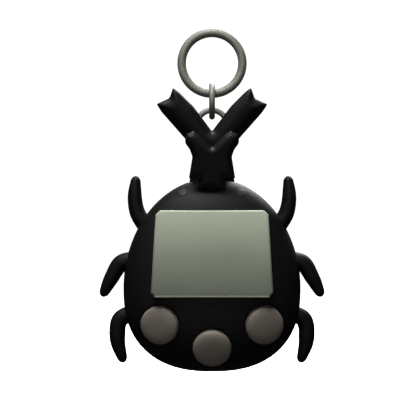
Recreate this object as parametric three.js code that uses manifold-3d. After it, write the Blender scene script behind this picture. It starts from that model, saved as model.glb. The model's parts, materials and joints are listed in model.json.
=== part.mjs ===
// A pocket virtual pet on a key ring, in a case shaped like a rhinoceros beetle.
//
// Millimetres. +Z is up, the screen faces -Y and +X is on the right of someone who reads the screen.
// The origin is the point that the whole thing hangs from: the top of the inside of the key ring.

import * as THREE from 'three';
import { mergeVertices } from 'three/addons/utils/BufferGeometryUtils.js';
import Module from 'manifold-3d';

// ---- driving dimensions ----

const GAP = 0.3;                       // between a piece and the opening that it sits in

// Rings: radius to the middle of the wire, and radius of the wire
const KEY_RING = { mean: 8.2, wire: 1.175 };
const LINK = { mean: 4.15, wire: 0.8 };
const WIRE_PLAY = 0.12;                // between two wires that hang in each other

// Case: an egg, an ellipse above its widest line and a squarer curve below it
const CASE = { halfWidth: 24, above: 30, below: 22.3, lowerPower: 2.4, domePower: 2.3 };
const CASE_Z = -68.04;                 // the widest line
const CASE_FRONT = 10.5;               // dome in front of the seam
const CASE_REAR = 9.4;                 // dome behind the seam, before its flat is cut
const REAR_FLAT = 7.6;                 // the flat back, behind the seam
const SEAM_Y = 1.2;                    // where the two shells meet
const SEAM_GAP = 0.15;
const WALL = 1.4;

// Screen: a tilted plate, wider at its lower edge
const SCREEN = { y: -9.4, z: -58.2, tilt: 8, halfHeight: 11.65, halfTop: 14.9, halfBottom: 16.05 };
const LENS = { thick: 1.3, bevel: 0.5, corner: 1.2 };
const SEAT_WALL = 1.2;                 // case wall under the lens
const SEAT_INSET = 0.45;               // how far the seat under the lens stays inside its outline
const VIEW = { halfWidth: 12, halfHeight: 8.8 };
const LCD = { halfWidth: 12.7, halfHeight: 9.6, thick: 1.6 };
const LCD_FRAME = { halfWidth: 13.1, halfHeight: 10, openWidth: 11.6, openHeight: 8.6, thick: 1.1 };

// Buttons: domed caps square to the case, kept in by a flange
const BUTTON = { radius: 5.1, flange: 5.8, proud: 0.55, dome: 1.15, flangeTop: -2.8, flangeThick: 0.6 };
const BUTTON_PLACES = { left: [-13.9, -77.1], middle: [0, -83.2], right: [13.9, -77.1] };
const KEYPAD = { domeRoot: 3.4, domeTop: 2.2, lip: 0.4, dome: 1.0, web: 0.4 };

// Horns, drawn as half outlines (x, z) from the middle outwards
const HORN = { thick: 4.6, lean: 0.268, middleY: -4.2, atZ: -28.3, bevel: 0.8 };
const FRONT_HORN = { thick: 3.0, lean: 0.268, middleY: -8.3, atZ: -28.3, bevel: 0.7 };
const HORN_PEGS = { z: [-31.9, -34.2], radius: 0.9, rootY: -7, tipY: -2.0 };

// Neck of the big horn: it bends back and stands upright in a slot behind the top edge of the front shell
const NECK = { bendTop: -30.5, upright: -38.2, end: -43.4, y: 1.9, thick: 4.2, half: 6.1, slotTop: -36 };
const NECK_WIDTHS = [[-29, 6.5], [-30.5, 5.93], [-31.7, 5.48], [-33, 5.0], [-34.2, 5.24], [-35.3, 5.46],
  [-36.3, 5.66], [-37.3, 5.86], [-38.2, 6.06], [-38.4, NECK.half], [NECK.end, NECK.half]];
const NECK_FLANGE = { half: 7.6, y: [-0.9, 3.2], z: [-43.7, -42.2] };
const TAB = { half: 3.6, end: -41.1 };                     // foot of the front horn, lying on the case
const LUG = { radius: 2.7, hole: 1.45, halfWidth: 1.1, drop: 0.35, rootY: -3.4, rootHalf: 2.3 };

// Legs: middle line (x, z) of the left-hand one, and radius at the root, the knee and the tip
const LEGS = {
  front: { line: [[-18.3, -50.5], [-20.1, -47.6], [-20.9, -43.6], [-20.6, -37.4]], radii: [2.3, 2.0, 1.1] },
  middle: { line: [[-21.0, -60.3], [-24.6, -61.1], [-27.2, -65.0], [-29.8, -70.1]], radii: [2.6, 2.1, 1.1] },
  rear: { line: [[-21.2, -74.4], [-24.9, -76.3], [-25.6, -81.6], [-23.9, -88.0]], radii: [2.35, 2.2, 1.1] },
};

const TIP_BLUNT = 0.35;                // share of the tip's radius that its very end keeps

// Electronics
const BOARD = { y: -0.5, thick: 1.0, halfWidth: 19, above: 22.5, below: 18.3 };
const BATTERY = { radius: 10, thick: 3.2, y: 3.2, z: -62 };
const CUP = { inner: 10.5, outer: 13.4, floor: 1.9, floorThick: 0.8 };
const CUP_TAB = { half: 4.9, z: [-81.3, -72] };            // block of the cup that the door's screw goes into
const COVER = { radius: 12.2, thick: 1.6, tabHalf: 3.6, tabEnd: -79.9, tabCorner: 1.5, screwZ: -77.3 };
const COVER_SCREW = { head: 1.7, headThick: 0.8, shank: 0.8, sunk: 0.85, tip: 3.6, hole: 1.1 };
const CASE_SCREWS = [[-11, -45.5], [11, -45.5], [-8.2, -87], [8.2, -87]];
const SCREW = { head: 1.9, headThick: 1.2, shank: 0.9, seat: 3.3, tip: -2.2 };
const POST = { front: 2.0, rear: 3.0, well: 2.2, hole: 1.2, boardRoom: 2.4 };
const CROSS = { arm: 0.62, half: 0.25, deep: 0.5 };        // in a screw's head; arm is a share of its radius
const NEGATIVE_CONTACT = { half: 6, y: [2.75, 3.05], halfHeight: 1.5, leg: 0.6 };
const POSITIVE_CONTACT = { x: [10.15, 10.45], y: [0.6, 6.3], halfHeight: 2.2 };
const EYE = { x: 7.95, z: -42, radius: 1.25 };
const RESET = { x: 9.5, z: -80, rod: 1.2, collar: 1.9, collarY: [5.6, 6.4], hole: 1.5, switch: 2 };
const BUZZER = { x: -13.5, z: -79, radius: 4.2, thick: 1.7, hole: 0.6, holePitch: 2.2 };
const CHIP = { x: 4, z: -55, height: 1.08 };
const CRYSTAL = { x: -16, z: -59.5, radius: 1, length: 6 };
const CAPACITOR = { x: 16, z: -59.5, radius: 1.4, length: 5 };
const ZEBRA = { half: 11, y: -5.3, z: [-66.2, -64.4] };

// ---- solids and booleans ----

const wasm = await Module();
wasm.setup();

function solid(geometry) {
  const bare = new THREE.BufferGeometry();
  bare.setAttribute('position', geometry.getAttribute('position').clone());
  if (geometry.index) bare.setIndex(geometry.index.clone());
  const merged = mergeVertices(bare, 1e-4);
  const corners = merged.index.array;
  const kept = [];
  for (let i = 0; i < corners.length; i += 3) {
    const [a, b, c] = [corners[i], corners[i + 1], corners[i + 2]];
    if (a !== b && b !== c && c !== a) kept.push(a, b, c);
  }
  const vertProperties = new Float32Array(merged.getAttribute('position').array);
  return new wasm.Manifold(new wasm.Mesh({ numProp: 3, vertProperties, triVerts: new Uint32Array(kept) }));
}

function geometryOf(body) {
  const mesh = body.getMesh();
  const geometry = new THREE.BufferGeometry();
  geometry.setAttribute('position', new THREE.BufferAttribute(new Float32Array(mesh.vertProperties), 3));
  geometry.setIndex(new THREE.BufferAttribute(new Uint32Array(mesh.triVerts), 1));
  geometry.computeVertexNormals();
  return geometry;
}

const join = (first, ...others) => others.reduce((sum, other) => sum.add(other), first);
const cut = (first, ...others) => others.reduce((rest, other) => rest.subtract(other), first);

function boxSolid([x0, x1], [y0, y1], [z0, z1]) {
  const box = new THREE.BoxGeometry(x1 - x0, y1 - y0, z1 - z0);
  return solid(box.translate((x0 + x1) / 2, (y0 + y1) / 2, (z0 + z1) / 2));
}

// A cylinder along Y, from y0 to y1
function postSolid(radius, [y0, y1], x, z, sides = 20) {
  const post = new THREE.CylinderGeometry(radius, radius, y1 - y0, sides);
  return solid(post.translate(x, (y0 + y1) / 2, z));
}

// A profile of [radius, height] pairs turned about the Y axis
function turned(profile, sides) {
  return new THREE.LatheGeometry(profile.map(([r, h]) => new THREE.Vector2(r, h)), sides);
}

// A half outline (x >= 0, from its first to its last point) mirrored into a whole one
function mirroredShape(half) {
  const left = half.filter(([x]) => x > 1e-6).map(([x, z]) => [-x, z]).reverse();
  return new THREE.Shape([...half, ...left].map(([x, z]) => new THREE.Vector2(x, z)));
}

// An outline in X and Z, extruded along Y from y0 to y1
function slab(shape, [y0, y1], bevel = 0) {
  const rounding = { bevelThickness: bevel, bevelSize: bevel, bevelOffset: -bevel, bevelSegments: 2 };
  const depth = y1 - y0 - 2 * bevel;
  const geometry = new THREE.ExtrudeGeometry(
    shape, { depth, bevelEnabled: bevel > 0, curveSegments: 10, ...rounding });
  geometry.translate(0, 0, bevel);
  return geometry.rotateX(Math.PI / 2).translate(0, y1, 0);
}

// ---- materials ----

function finish(color, roughness, metalness = 0) {
  return new THREE.MeshStandardMaterial({ color, roughness, metalness });
}

const MATERIALS = {
  nickel: finish(0xa8a494, 0.35, 0.9),
  shell: finish(0x0c0c0c, 0.42),
  eye: finish(0x3c403c, 0.5),
  lens: finish(0x8d9681, 0.25),
  lcd: finish(0x7d866f, 0.3),
  button: finish(0x6b645c, 0.55),
  board: finish(0x2d5b3a, 0.6),
  silicone: finish(0xd8d4c8, 0.7),
  zebra: finish(0x55585c, 0.8),
  frame: finish(0xd9d8d2, 0.6),
  resin: finish(0x101010, 0.35),
  steel: finish(0xb9bcc0, 0.3, 0.95),
  brass: finish(0xc9a350, 0.3, 0.9),
};

const model = new THREE.Group();

function addPiece(name, body, material, place) {
  const mesh = new THREE.Mesh(geometryOf(body), MATERIALS[material]);
  mesh.name = name;
  if (place) {
    mesh.position.copy(place.point);
    mesh.quaternion.copy(place.turn);
  }
  model.add(mesh);
}

// ---- key ring and links ----

const keyRingZ = -(KEY_RING.mean - KEY_RING.wire);
const keyRingWireZ = keyRingZ - KEY_RING.mean;
const upperLinkZ = keyRingWireZ + KEY_RING.wire + WIRE_PLAY + LINK.wire - LINK.mean;
const upperWireZ = upperLinkZ - LINK.mean;
const lowerLinkZ = upperWireZ + LINK.wire + WIRE_PLAY + LINK.wire - LINK.mean;
const lowerWireZ = lowerLinkZ - LINK.mean;

function ringSolid({ mean, wire }, z, facing, sides, segments) {
  const ring = new THREE.TorusGeometry(mean, wire, sides, segments);
  if (facing === 'front') ring.rotateX(Math.PI / 2);
  else ring.rotateY(Math.PI / 2);
  return solid(ring.translate(0, 0, z));
}

addPiece('key_ring', ringSolid(KEY_RING, keyRingZ, 'front', 8, 32), 'nickel');
addPiece('upper_link', ringSolid(LINK, upperLinkZ, 'side', 8, 24), 'nickel');
addPiece('lower_link', ringSolid(LINK, lowerLinkZ, 'front', 8, 24), 'nickel');

// ---- the egg that the case is cut from ----

// How far out a point is, from 0 on the middle line to 1 on the outline
function eggReach(x, z) {
  const [across, up] = [Math.abs(x) / CASE.halfWidth, z - CASE_Z];
  if (up >= 0) return Math.hypot(across, up / CASE.above);
  const n = CASE.lowerPower;
  return (across ** n + (-up / CASE.below) ** n) ** (1 / n);
}

function eggFrontY(x, z) {
  const m = CASE.domePower;
  return SEAM_Y - CASE_FRONT * Math.max(0, 1 - eggReach(x, z) ** m) ** (1 / m);
}

// A place on the front of the case, with its Y axis turned to point straight out of it
function onFront([x, z]) {
  const step = 0.05;
  const slopeX = (eggFrontY(x + step, z) - eggFrontY(x - step, z)) / (2 * step);
  const slopeZ = (eggFrontY(x, z + step) - eggFrontY(x, z - step)) / (2 * step);
  const normal = new THREE.Vector3(slopeX, -1, slopeZ).normalize();
  const turn = new THREE.Quaternion().setFromUnitVectors(new THREE.Vector3(0, 1, 0), normal);
  return { point: new THREE.Vector3(x, eggFrontY(x, z), z), normal, turn };
}

// Moves a geometry made about the origin to such a place
function placed(geometry, { point, turn }) {
  return solid(geometry.applyQuaternion(turn).translate(point.x, point.y, point.z));
}

// The whole egg, shrunk all round by an inset
function egg(inset) {
  const ball = new THREE.SphereGeometry(1, 36, 14);
  const position = ball.getAttribute('position');
  const power = 2 / CASE.domePower;
  const lower = 2 / CASE.lowerPower;
  for (let i = 0; i < position.count; i += 1) {
    const [x, y, z] = [position.getX(i), position.getY(i), position.getZ(i)];
    const flat = Math.hypot(x, z) || 1;
    const [c, s] = [x / flat, z / flat];
    const reach = Math.min(1, flat) ** power;
    const upper = s >= 0;
    const outX = (CASE.halfWidth - inset) * (upper ? c : Math.sign(c) * Math.abs(c) ** lower);
    const outZ = upper ? (CASE.above - inset) * s : -(CASE.below - inset) * Math.abs(s) ** lower;
    const depth = (y < 0 ? CASE_FRONT : CASE_REAR) - inset;
    const outY = Math.abs(y) < 1e-9 ? 0 : Math.sign(y) * depth * Math.abs(y) ** power;
    position.setXYZ(i, reach * outX, SEAM_Y + outY, CASE_Z + reach * outZ);
  }
  return solid(ball).intersect(boxSolid([-60, 60], [-60, SEAM_Y + REAR_FLAT - inset], [-120, 0]));
}

const eggOuter = egg(0);
const eggInner = egg(WALL);
const inFront = boxSolid([-60, 60], [-60, SEAM_Y - SEAM_GAP / 2], [-120, 0]);
const behind = boxSolid([-60, 60], [SEAM_Y + SEAM_GAP / 2, 60], [-120, 0]);

// ---- horns ----

// Leans a slab forwards: its upper part moves towards -Y
function leaned(geometry, { lean, middleY, atZ }) {
  const position = geometry.getAttribute('position');
  for (let i = 0; i < position.count; i += 1) {
    position.setY(i, position.getY(i) + middleY - lean * (position.getZ(i) - atZ));
  }
  return solid(geometry);
}

const lugZ = lowerWireZ - LUG.drop;
const hornOutline = mirroredShape([
  [0, NECK.bendTop], [5.95, NECK.bendTop], [6.6, -28.8], [7.08, -27.8],
  [13.4, -20.7], [14.7, -18.65], [11.24, -17.1], [10.27, -14.4], [8.55, -15.7], [4.98, -19.2], [0, -25.7],
]);

// Where the middle of the neck's thickness is at a height
function neckMiddle(z) {
  const straight = HORN.middleY - HORN.lean * (Math.max(z, NECK.bendTop) - HORN.atZ);
  const span = NECK.bendTop - NECK.upright;
  const t = Math.min(1, Math.max(0, (NECK.bendTop - z) / span));
  const [start, end] = [2 * t ** 3 - 3 * t ** 2 + 1, 3 * t ** 2 - 2 * t ** 3];
  return start * straight + (t ** 3 - 2 * t ** 2 + t) * span * HORN.lean + end * NECK.y;
}

// An eight-sided column through the widths of the neck; it stays a hair inside the faces of the horn's plate
function neckSolid() {
  const column = new THREE.CylinderGeometry(1, 1, 1, 8, NECK_WIDTHS.length - 1, false, Math.PI / 8);
  const position = column.getAttribute('position');
  const [top, bottom] = [HORN.thick / 2 - 0.02, NECK.thick / 2];
  for (let i = 0; i < position.count; i += 1) {
    const level = Math.round((0.5 - position.getY(i)) * (NECK_WIDTHS.length - 1));
    const [z, width] = NECK_WIDTHS[level];
    const [c, s] = [position.getX(i), -position.getZ(i)];
    const bent = Math.min(1, Math.max(0, (NECK.bendTop - z) / (NECK.bendTop - NECK.upright)));
    const thick = top + (bottom - top) * bent;
    const flatSide = Math.abs(c) > Math.abs(s);
    const x = Math.sign(c) * (width - (flatSide ? 0 : HORN.bevel));
    const y = Math.sign(s) * (thick - (flatSide ? HORN.bevel : 0));
    const centre = Math.hypot(c, s) < 1e-6;
    position.setXYZ(i, centre ? 0 : x, neckMiddle(z) + (centre ? 0 : y), z);
  }
  return solid(column);
}

function hornSolid() {
  const half = HORN.thick / 2;
  const plate = leaned(slab(hornOutline, [-half, half], HORN.bevel), HORN);
  const flange = boxSolid([-NECK_FLANGE.half, NECK_FLANGE.half], NECK_FLANGE.y, NECK_FLANGE.z);
  const barrel = new THREE.CylinderGeometry(LUG.radius, LUG.radius, 2 * LUG.halfWidth, 20);
  const lug = solid(barrel.rotateZ(Math.PI / 2).translate(0, 0, lugZ));
  const rootZ = [lugZ - LUG.rootHalf, lugZ + LUG.rootHalf];
  const root = boxSolid([-LUG.halfWidth, LUG.halfWidth], [LUG.rootY, 0], rootZ);
  const drill = new THREE.CylinderGeometry(LUG.hole, LUG.hole, 2 * LUG.halfWidth + 1, 20);
  const hole = solid(drill.rotateZ(Math.PI / 2).translate(0, 0, lugZ));
  const pegRoom = HORN_PEGS.radius + GAP;
  const pegHoles = HORN_PEGS.z.map((z) => postSolid(pegRoom, [-12, HORN_PEGS.tipY + GAP], 0, z, 12));
  return cut(join(plate, neckSolid(), flange, lug, root), hole, ...pegHoles);
}

// The slot in the top of the case that the neck comes out of
function neckOpening() {
  const half = NECK.thick / 2 + GAP;
  const side = NECK.half + GAP;
  return boxSolid([-side, side], [NECK.y - half, NECK.y + half], [NECK.end, NECK.slotTop]);
}

// The tab at its foot lies on the case; the rest stands in front of the big horn's neck
const frontHornOutline = mirroredShape([
  [0, -40.9], [2.4, TAB.end], [3.5, -40.7], [TAB.half, -38.3], [6.15, -38.3], [5.2, -32.6], [5.85, -30.75],
  [7.05, -29.1], [7.1, -27.9], [6.8, -26.8], [4.86, -25.9], [3.2, -27.0], [0, -30.2],
]);

function frontHornSolid() {
  const half = FRONT_HORN.thick / 2;
  const plate = leaned(slab(frontHornOutline, [-half, half], FRONT_HORN.bevel), FRONT_HORN);
  const reach = [HORN_PEGS.rootY, HORN_PEGS.tipY];
  const pegs = HORN_PEGS.z.map((z) => postSolid(HORN_PEGS.radius, reach, 0, z, 12));
  return join(plate, ...pegs);
}

// The shallow seat in the front shell that the tab lies in
function tabSeat() {
  const [side, end] = [TAB.half + GAP, TAB.end - GAP];
  const outline = mirroredShape([[0, end], [side, end], [side, NECK.slotTop], [0, NECK.slotTop]]);
  return leaned(slab(outline, [-3, FRONT_HORN.thick / 2 + GAP]), FRONT_HORN);
}

addPiece('horn', hornSolid(), 'shell');

// ---- legs ----

function limb(line, radii, extra = 0, steps = 9) {
  const points = line.map(([x, z]) => new THREE.Vector3(x, 0, z));
  const curve = new THREE.CatmullRomCurve3(points, false, 'centripetal');
  const tube = new THREE.CylinderGeometry(1, 1, 1, 10, steps);
  const position = tube.getAttribute('position');
  const [root, knee, tip] = radii;
  const depthWays = new THREE.Vector3(0, 1, 0);
  for (let i = 0; i < position.count; i += 1) {
    const along = position.getY(i) + 0.5;
    const middle = curve.getPointAt(along);
    const across = curve.getTangentAt(along).cross(depthWays);
    const pastKnee = along * 2 - 1;
    const taper = pastKnee < 0 ? knee - (root - knee) * pastKnee : knee + (tip - knee) * pastKnee ** 1.6;
    const radius = taper * (along > 0.999 ? TIP_BLUNT : 1) + extra;
    const [u, v] = [position.getX(i) * radius, position.getZ(i) * radius];
    position.setXYZ(i, middle.x + across.x * u, SEAM_Y + v, middle.z + across.z * u);
  }
  return solid(tube);
}

const mirroredLine = (line) => line.map(([x, z]) => [-x, z]);
const sockets = [];
for (const [pair, { line, radii }] of Object.entries(LEGS)) {
  for (const [side, path] of [['left', line], ['right', mirroredLine(line)]]) {
    addPiece(`leg_${pair}_${side}`, limb(path, radii), 'shell');
    sockets.push(limb(path, radii, GAP, 4));
  }
}

// ---- screen ----

const screenTurn = new THREE.Quaternion().setFromAxisAngle(
  new THREE.Vector3(1, 0, 0), -THREE.MathUtils.degToRad(SCREEN.tilt));
const screenPlace = { point: new THREE.Vector3(0, SCREEN.y, SCREEN.z), turn: screenTurn };

// A plate in the screen's own frame: x across, z up the screen, y in from its front face
function screenShape(inset, corner = 0) {
  const [top, bottom, up] = [SCREEN.halfTop - inset, SCREEN.halfBottom - inset, SCREEN.halfHeight - inset];
  if (!corner) return mirroredShape([[0, -up], [bottom, -up], [top, up], [0, up]]);
  return mirroredShape([
    [0, -up], [bottom - corner, -up], [bottom, corner - up], [top, up - corner], [top - corner, up], [0, up],
  ]);
}

const boardBack = BOARD.y + BOARD.thick;
const seatY = LENS.thick + 0.1;
const lcdY = seatY + SEAT_WALL + 0.2;

const lensSolid = () => solid(slab(screenShape(0, LENS.corner), [0, LENS.thick], LENS.bevel));
addPiece('screen_lens', lensSolid(), 'lens', screenPlace);

const lcdSolid = boxSolid(
  [-LCD.halfWidth, LCD.halfWidth], [lcdY, lcdY + LCD.thick], [-LCD.halfHeight, LCD.halfHeight]);
addPiece('lcd_panel', lcdSolid, 'lcd', screenPlace);

function lcdFrameSolid() {
  const { halfWidth, halfHeight, openWidth, openHeight, thick } = LCD_FRAME;
  const back = lcdY + LCD.thick + 0.2;
  const end = back + thick;
  const outside = boxSolid([-halfWidth, halfWidth], [back, end], [-halfHeight, halfHeight]);
  const inside = boxSolid([-openWidth, openWidth], [back - 1, end + 1], [-openHeight, openHeight]);
  return cut(outside, inside);
}
addPiece('lcd_frame', lcdFrameSolid(), 'frame', screenPlace);

// ---- buttons ----

function buttonSolid() {
  const { radius, flange, proud, dome, flangeTop, flangeThick } = BUTTON;
  const bottom = flangeTop - flangeThick;
  const profile = [[0, bottom], [flange, bottom], [flange, flangeTop], [radius, flangeTop], [radius, 0]];
  const rings = 4;
  for (let i = 0; i <= rings; i += 1) {
    const angle = (i / rings) * Math.PI / 2;
    profile.push([i === rings ? 0 : radius * Math.cos(angle) ** 0.8, proud + dome * Math.sin(angle)]);
  }
  return solid(turned(profile, 24));
}

const buttonHoles = [];
const holeRadius = BUTTON.radius + GAP;
for (const [side, place] of Object.entries(BUTTON_PLACES)) {
  addPiece(`button_${side}`, buttonSolid(), 'button', onFront(place));
  const hole = new THREE.CylinderGeometry(holeRadius, holeRadius, 8, 24);
  buttonHoles.push(placed(hole, onFront(place)));
}

// ---- eyes: two small domed studs in shallow pockets ----

const eyePlaces = { left: onFront([-EYE.x, EYE.z]), right: onFront([EYE.x, EYE.z]) };
const eyePockets = [];
for (const [side, place] of Object.entries(eyePlaces)) {
  const profile = [[0, -0.5], [EYE.radius, -0.5], [EYE.radius, 0.1], [EYE.radius * 0.7, 0.28], [0, 0.36]];
  addPiece(`eye_${side}`, solid(turned(profile, 12)), 'eye', place);
  const pocket = new THREE.CylinderGeometry(EYE.radius + 0.15, EYE.radius + 0.15, 2, 12);
  eyePockets.push(placed(pocket.translate(0, 0.4, 0), place));
}

// ---- front shell ----

function screwPosts(radius, range) {
  return CASE_SCREWS.map(([x, z]) => postSolid(radius, range, x, z, 14));
}

function frontShellSolid() {
  const [wide, high] = [VIEW.halfWidth, VIEW.halfHeight];
  const viewShape = mirroredShape([[0, -high], [wide, -high], [wide, high], [0, high]]);
  const seat = placed(slab(screenShape(SEAT_INSET, 0.8), [seatY, 8.5]), screenPlace);
  const pocket = placed(slab(screenShape(SEAT_INSET + SEAT_WALL), [seatY + SEAT_WALL, 9]), screenPlace);
  const view = placed(slab(viewShape, [-1, 6]), screenPlace);
  const lensRoom = placed(slab(screenShape(-GAP, LENS.corner), [-6, seatY]), screenPlace);
  const posts = join(...screwPosts(POST.front, [-12, SEAM_Y])).intersect(eggOuter);
  const skin = cut(join(eggOuter, seat.intersect(inFront)), eggInner, lensRoom, pocket, view);
  const screwHoles = screwPosts(POST.hole, [SCREW.tip - 0.4, SEAM_Y + 1]);
  const openings = [...screwHoles, ...buttonHoles, ...eyePockets, ...sockets, neckOpening(), tabSeat()];
  return cut(join(skin, posts), ...openings).intersect(inFront);
}

addPiece('front_shell', frontShellSolid(), 'shell');
addPiece('front_horn', frontHornSolid(), 'shell');

// ---- rear shell with its battery cup, wells, reset hole and sound holes ----

// A disc with a tab below it, the outline of the battery door
function doorShape(grow) {
  const [radius, half, end] = [COVER.radius + grow, COVER.tabHalf + grow, COVER.tabEnd - grow];
  const corner = COVER.tabCorner;
  const shape = new THREE.Shape();
  const start = Math.asin(half / radius);
  shape.absarc(0, BATTERY.z, radius, -Math.PI / 2 + start, 1.5 * Math.PI - start, false);
  shape.lineTo(-half, end + corner);
  shape.lineTo(-half + corner, end);
  shape.lineTo(half - corner, end);
  shape.lineTo(half, end + corner);
  return shape;
}

const rearFace = SEAM_Y + REAR_FLAT;
const doorInside = rearFace - COVER.thick;

function rearShellSolid() {
  const cupDepth = [CUP.floor, rearFace];
  const tabBlock = boxSolid([-CUP_TAB.half, CUP_TAB.half], cupDepth, CUP_TAB.z);
  const cup = join(postSolid(CUP.outer, cupDepth, 0, BATTERY.z, 40), tabBlock);
  const wells = screwPosts(POST.rear, [SEAM_Y, 20]);
  const added = join(cup, ...wells).intersect(eggOuter);
  const skin = cut(eggOuter, eggInner);
  const recess = solid(slab(doorShape(GAP), [doorInside - 0.1, rearFace + 1]));
  const pocket = postSolid(CUP.inner, [CUP.floor + CUP.floorThick, rearFace], 0, BATTERY.z, 40);
  const contactSlot = boxSolid([9.0, 11.0], [CUP.floor - 1, 6.6], [BATTERY.z - 2.8, BATTERY.z + 2.8]);
  const contactHole = boxSolid([-1, 1], [CUP.floor - 1, 4], [BATTERY.z - 1, BATTERY.z + 1]);
  const openings = [recess, pocket, contactSlot, contactHole];
  openings.push(postSolid(COVER_SCREW.hole, [COVER_SCREW.tip - 0.4, rearFace], 0, COVER.screwZ, 14));
  openings.push(postSolid(RESET.hole, [4, 12], RESET.x, RESET.z, 16));
  for (const shift of [-BUZZER.holePitch, 0, BUZZER.holePitch]) {
    openings.push(postSolid(BUZZER.hole, [3, 12], BUZZER.x + shift, BUZZER.z, 10));
  }
  openings.push(...screwPosts(POST.well, [SCREW.seat - 0.1, 20]), ...screwPosts(POST.hole, [0, 5]));
  return cut(join(skin, added), ...openings, ...sockets, neckOpening()).intersect(behind);
}

addPiece('rear_shell', rearShellSolid(), 'shell');

// ---- screws ----

function screwSolid({ head, headThick, shank, tip }, headY, x, z) {
  const cap = postSolid(head, [headY, headY + headThick], x, z, 16);
  const stem = postSolid(shank, [tip, headY + 0.2], x, z, 12);
  const [arm, half, floor] = [head * CROSS.arm, CROSS.half, headY + headThick - CROSS.deep];
  const slots = [
    boxSolid([x - arm, x + arm], [floor, floor + 1], [z - half, z + half]),
    boxSolid([x - half, x + half], [floor, floor + 1], [z - arm, z + arm]),
  ];
  return cut(join(cap, stem), ...slots);
}

CASE_SCREWS.forEach(([x, z], i) => {
  addPiece(`case_screw_${i + 1}`, screwSolid(SCREW, SCREW.seat, x, z), 'steel');
});

// ---- battery door ----

function batteryCoverSolid() {
  const plate = solid(slab(doorShape(0), [doorInside, rearFace]));
  const headFloor = rearFace - COVER_SCREW.sunk - 0.05;
  const headRoom = postSolid(COVER_SCREW.head + GAP, [headFloor, rearFace + 1], 0, COVER.screwZ, 16);
  const shankRoom = postSolid(COVER_SCREW.hole, [doorInside - 1, rearFace], 0, COVER.screwZ, 14);
  return cut(plate, headRoom, shankRoom);
}
addPiece('battery_cover', batteryCoverSolid(), 'shell');
const coverScrew = screwSolid(COVER_SCREW, rearFace - COVER_SCREW.sunk, 0, COVER.screwZ);
addPiece('battery_cover_screw', coverScrew, 'steel');

// ---- battery and its contacts ----

function batterySolid() {
  const { radius, thick, y, z } = BATTERY;
  const wide = postSolid(radius, [y + 0.6, y + thick], 0, z, 36);
  return join(wide, postSolid(radius - 1.3, [y, y + 0.7], 0, z, 36));
}
addPiece('battery', batterySolid(), 'steel');

function negativeContactSolid() {
  const { half, y, halfHeight, leg } = NEGATIVE_CONTACT;
  const blade = boxSolid([-half, half], y, [BATTERY.z - halfHeight, BATTERY.z + halfHeight]);
  const legZ = [BATTERY.z - leg, BATTERY.z + leg];
  return join(blade, boxSolid([-leg, leg], [boardBack + 0.1, y[0] + 0.15], legZ));
}
addPiece('battery_contact_negative', negativeContactSolid(), 'brass');

const positiveHeight = POSITIVE_CONTACT.halfHeight;
const positiveZ = [BATTERY.z - positiveHeight, BATTERY.z + positiveHeight];
const positiveContact = boxSolid(POSITIVE_CONTACT.x, POSITIVE_CONTACT.y, positiveZ);
addPiece('battery_contact_positive', positiveContact, 'brass');

// ---- circuit board and what is on it ----

function boardOutline() {
  const points = [];
  const steps = 32;
  const lower = 2 / CASE.lowerPower;
  for (let i = 0; i < steps; i += 1) {
    const angle = (i / steps) * 2 * Math.PI;
    const [c, s] = [Math.cos(angle), Math.sin(angle)];
    const x = BOARD.halfWidth * (s >= 0 ? c : Math.sign(c) * Math.abs(c) ** lower);
    const z = CASE_Z + (s >= 0 ? BOARD.above * s : -BOARD.below * Math.abs(s) ** lower);
    points.push(new THREE.Vector2(x, z));
  }
  return new THREE.Shape(points);
}

const onBack = (height) => [boardBack + 0.02, boardBack + height];
const board = solid(slab(boardOutline(), [BOARD.y, boardBack]));
addPiece('circuit_board', cut(board, ...screwPosts(POST.boardRoom, [-5, 5])), 'board');

function globTopSolid() {
  const profile = [[0, 0], [4.5, 0], [4.2, 0.45], [3, 0.85], [0, CHIP.height]];
  return solid(turned(profile, 20).translate(CHIP.x, boardBack + 0.02, CHIP.z));
}
addPiece('chip_cover', globTopSolid(), 'resin');

function canSolid({ radius, length, x, z }) {
  const can = new THREE.CylinderGeometry(radius, radius, length, 14);
  return solid(can.rotateX(Math.PI / 2).translate(x, boardBack + radius + 0.05, z));
}
addPiece('crystal', canSolid(CRYSTAL), 'steel');
addPiece('capacitor', canSolid(CAPACITOR), 'resin');
addPiece('buzzer', postSolid(BUZZER.radius, onBack(BUZZER.thick), BUZZER.x, BUZZER.z, 28), 'brass');
addPiece('reset_switch', postSolid(RESET.switch, onBack(0.6), RESET.x, RESET.z, 20), 'steel');

function resetButtonSolid() {
  const rod = postSolid(RESET.rod, [boardBack + 1.2, rearFace - 0.8], RESET.x, RESET.z, 16);
  return join(rod, postSolid(RESET.collar, RESET.collarY, RESET.x, RESET.z, 16));
}
addPiece('reset_button', resetButtonSolid(), 'button');

const zebraStrip = boxSolid([-ZEBRA.half, ZEBRA.half], [ZEBRA.y, BOARD.y - 0.1], ZEBRA.z);
addPiece('zebra_strip', zebraStrip, 'zebra');

// Silicone mat with a dome under each button
function keypadSolid() {
  const front = BOARD.y - 0.05;
  const { domeRoot, domeTop, lip, dome } = KEYPAD;
  const profile = [[0, 0], [domeRoot, 0], [domeRoot, lip], [domeTop, dome], [0, dome]];
  const domes = Object.values(BUTTON_PLACES).map(([x, z]) => (
    solid(turned(profile, 18).rotateX(Math.PI).translate(x * 0.93, front, z * 0.99))));
  const web = mirroredShape([[0, -84.5], [4, -84.5], [14.5, -78.5], [14.5, -75.5], [0, -78]]);
  return join(solid(slab(web, [front - KEYPAD.web, front])), ...domes);
}
addPiece('keypad', keypadSolid(), 'silicone');

export default model;
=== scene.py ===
"""The looks of a beetle-shaped virtual pet on a key ring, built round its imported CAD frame.

Sizes are in millimetres until a mesh is made, which turns them into metres. The screen faces -Y and +Z is up.
"""

import json
import math

import bmesh
import bpy
import numpy as np
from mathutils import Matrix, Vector
from mathutils.geometry import delaunay_2d_cdt


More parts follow.
